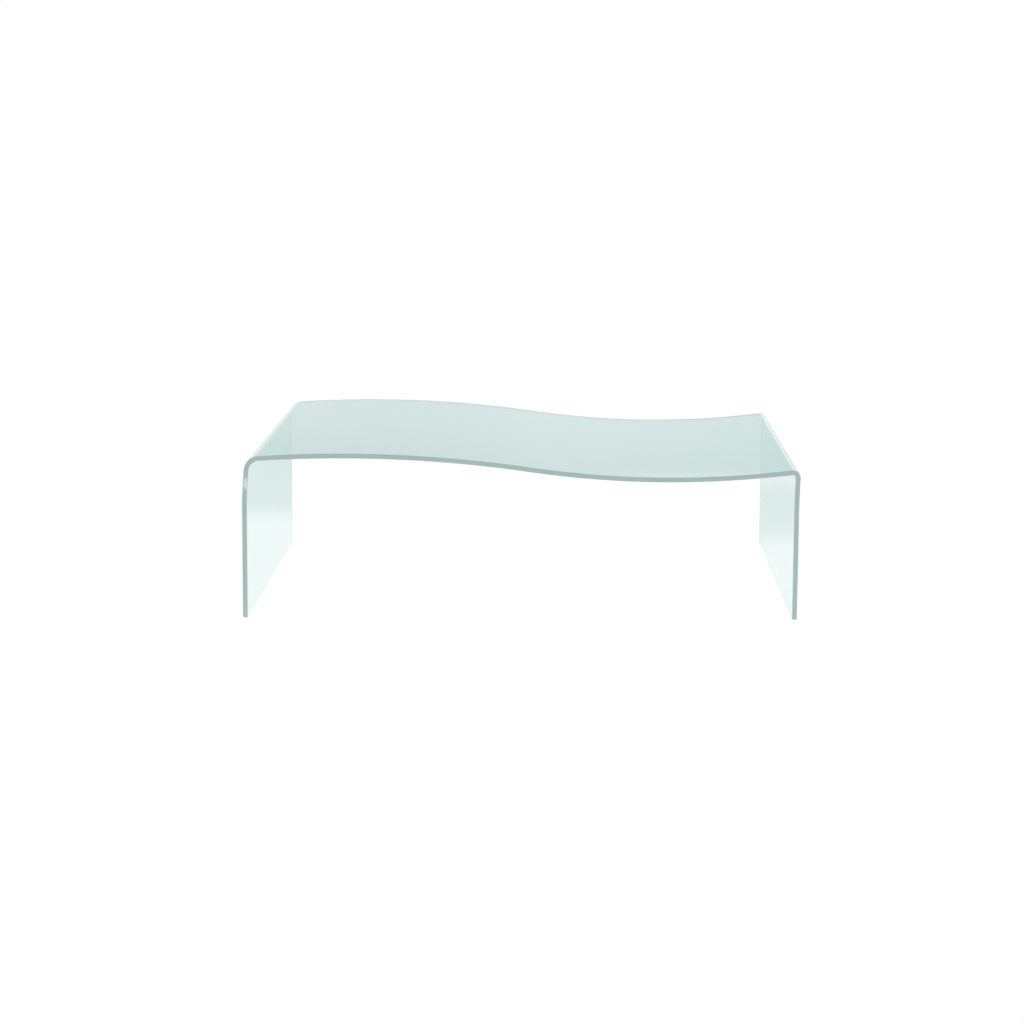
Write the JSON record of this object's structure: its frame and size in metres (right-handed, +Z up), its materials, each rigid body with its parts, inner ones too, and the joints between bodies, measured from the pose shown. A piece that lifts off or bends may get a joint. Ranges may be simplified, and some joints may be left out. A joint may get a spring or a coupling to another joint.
{
  "type": "waterfall coffee table",
  "caption": "Low free-standing table bent from a single sheet of clear glass, its waved top running down into two legs, on small clear foot pads.",
  "frame": {"origin": "on the floor, midway between the outer edges of the two feet and midway through the depth", "axes": "+X from the leg beside the crest to the leg beside the trough, +Y from front to back, +Z up"},
  "size_m": [1.4, 0.8, 0.4269],
  "materials": {
    "clear_glass": "clear float glass, slightly green, with polished edges",
    "clear_pad": "soft clear polyurethane, smooth"
  },
  "bodies": {
    "root": {"bent_glass_sheet": "clear_glass", "foot_pad_front_left": "clear_pad", "foot_pad_back_left": "clear_pad", "foot_pad_front_right": "clear_pad", "foot_pad_back_right": "clear_pad"}
  },
  "joints": []
}
